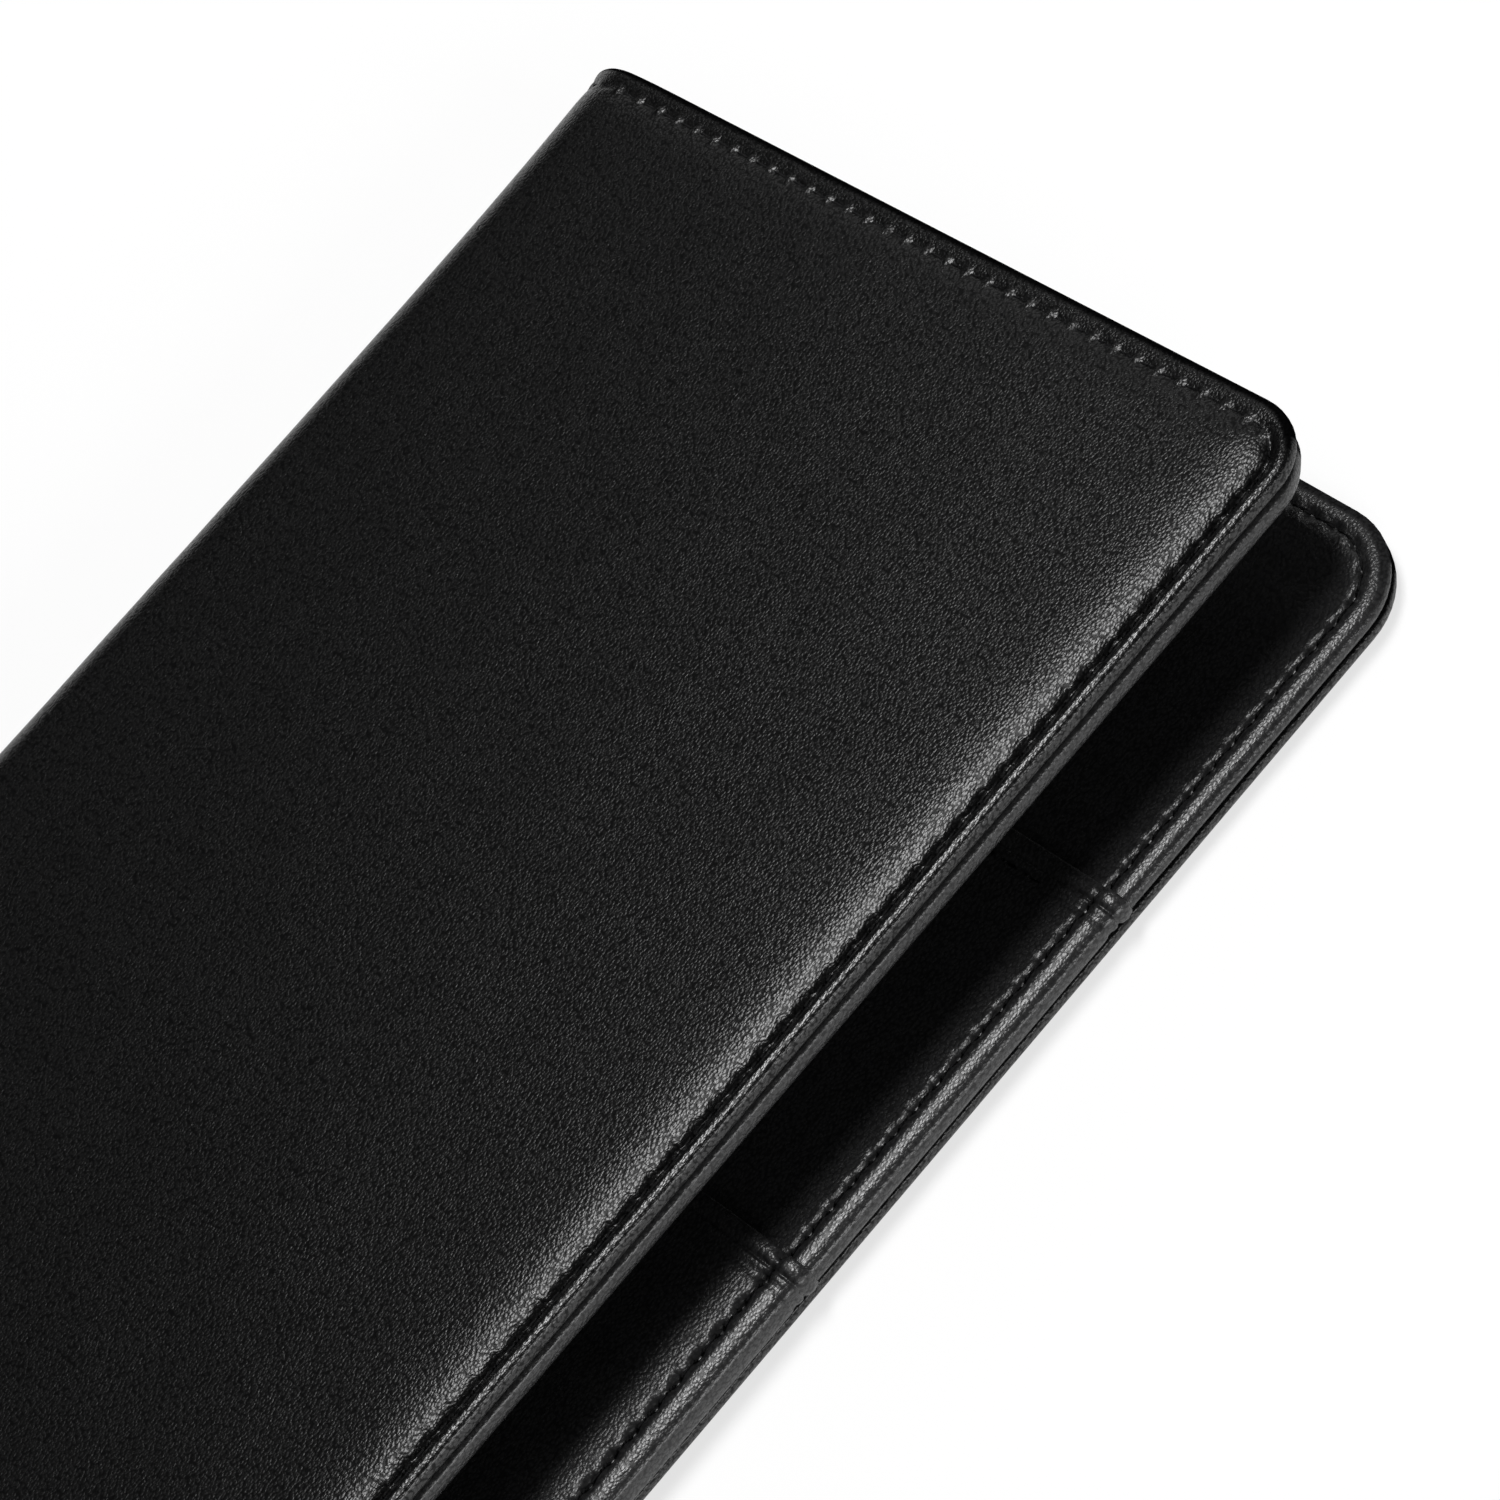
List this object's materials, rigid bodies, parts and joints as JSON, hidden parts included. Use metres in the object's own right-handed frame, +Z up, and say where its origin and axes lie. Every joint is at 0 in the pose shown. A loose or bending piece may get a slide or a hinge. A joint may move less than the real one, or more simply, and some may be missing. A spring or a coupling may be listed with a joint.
{
  "type": "travel document holder",
  "caption": "Two-cover leather travel document holder with padded covers, a soft round spine, stitched rims, two stacked document pockets, a slip pocket and card slots.",
  "frame": {"origin": "under the middle of the holder's box, on the surface that the rear cover lies on", "axes": "+X from the spine to the free edge, +Y along the spine towards the top edge that the pocket mouths face, +Z up through the front cover"},
  "size_m": [0.1276, 0.235, 0.0216],
  "materials": {
    "outer_leather": "fine pebble grain, soft satin",
    "lining_leather": "fine grain, satin",
    "padding_foam": "matte",
    "stiffener_board": "matte",
    "stitching_thread": "twisted, slight sheen"
  },
  "bodies": {
    "rear_cover": {"rear_cover_leather": "outer_leather", "rear_padding": "padding_foam", "rear_board": "stiffener_board", "rear_lining": "lining_leather", "ticket_pocket": "lining_leather", "passport_pocket": "lining_leather", "rear_outer_thread": "stitching_thread", "rear_inner_thread": "stitching_thread", "ticket_pocket_thread": "stitching_thread", "passport_pocket_thread": "stitching_thread"},
    "spine": {"spine_leather": "outer_leather", "spine_lining": "lining_leather", "spine_top_thread": "stitching_thread", "spine_bottom_thread": "stitching_thread"},
    "front_cover": {"front_cover_leather": "outer_leather", "front_padding": "padding_foam", "front_board": "stiffener_board", "front_lining": "lining_leather", "slip_pocket": "lining_leather", "card_slot_1": "lining_leather", "card_slot_2": "lining_leather", "card_slot_3": "lining_leather", "front_outer_thread": "stitching_thread", "front_inner_thread": "stitching_thread", "slip_pocket_thread": "stitching_thread", "card_slot_1_thread": "stitching_thread", "card_slot_2_thread": "stitching_thread", "card_slot_3_thread": "stitching_thread"}
  },
  "joints": [
    {"name": "spine_fold", "type": "hinge", "parent": "rear_cover", "child": "spine", "pos_m": [-0.06215, 0, 0.0015], "axis": [0, -1, 0], "range_deg": [-1.8, 88]},
    {"name": "front_fold", "type": "hinge", "parent": "spine", "child": "front_cover", "pos_m": [-0.06254, 0, 0.01249], "axis": [0, -1, 0], "range_deg": [-1.8, 88]}
  ],
  "couplings": [
    {"joint": "spine_fold", "follows": "front_fold", "ratio": 1}
  ]
}
